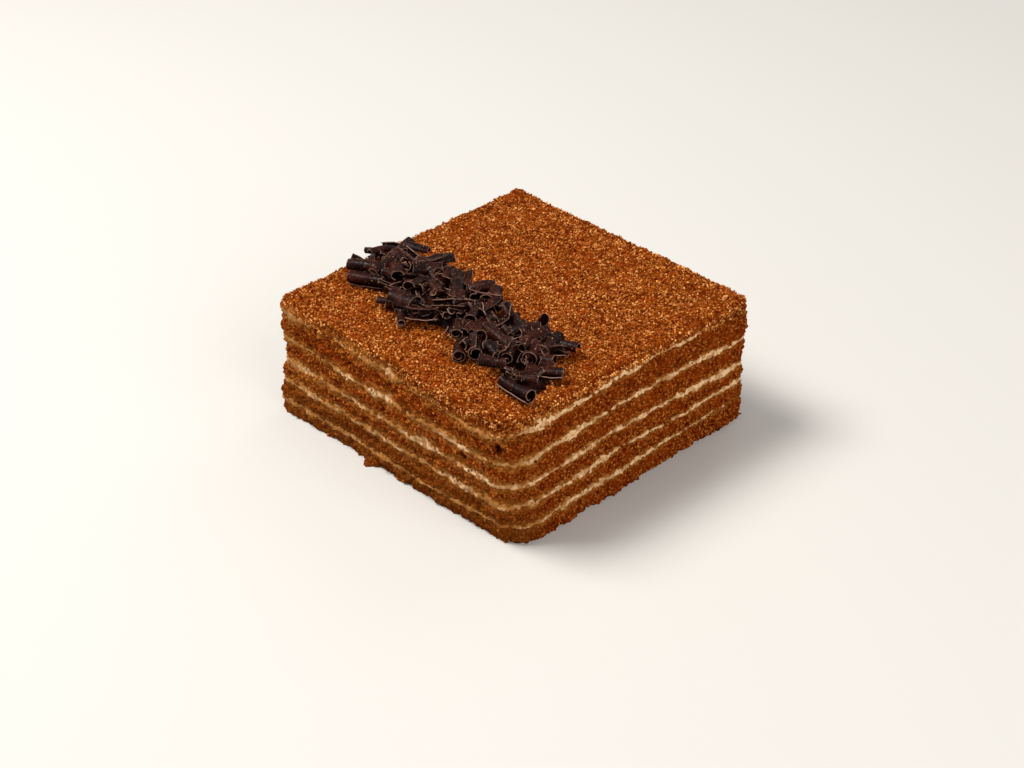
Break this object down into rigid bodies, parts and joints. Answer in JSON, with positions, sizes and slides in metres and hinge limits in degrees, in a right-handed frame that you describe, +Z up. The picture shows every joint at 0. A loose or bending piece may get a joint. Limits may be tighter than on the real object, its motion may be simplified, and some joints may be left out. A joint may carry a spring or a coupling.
{
  "type": "square slab of medovik honey cake",
  "caption": "Square slab of honey layer cake: baked layers with cream between them, a coat of crumbs and a strip of rolled chocolate shavings across the top.",
  "frame": {"origin": "middle of the underside of the slab's box, on the surface that it stands on", "axes": "+Z up out of the top, +X out of the cut face on the right in the picture, -Y out of the cut face on the left in the picture; the strip of curls runs along X near the -Y face"},
  "size_m": [0.096, 0.0946, 0.0471],
  "materials": {
    "baked_layer": "moist open brown cake crumb, matt",
    "cream": "pale ochre sour cream, partly soaked into the cake, satin",
    "crumbs": "dry loose cake crumbs from golden to dark brown, matt",
    "chocolate": "dark chocolate shavings with pale scraped edges, satin"
  },
  "bodies": {
    "root": {"sponge_1": "baked_layer", "sponge_2": "baked_layer", "sponge_3": "baked_layer", "sponge_4": "baked_layer", "sponge_5": "baked_layer", "cream_1": "cream", "cream_2": "cream", "cream_3": "cream", "cream_4": "cream", "cream_5": "cream", "crumb_coat": "crumbs", "chocolate_curls": "chocolate"}
  },
  "joints": []
}
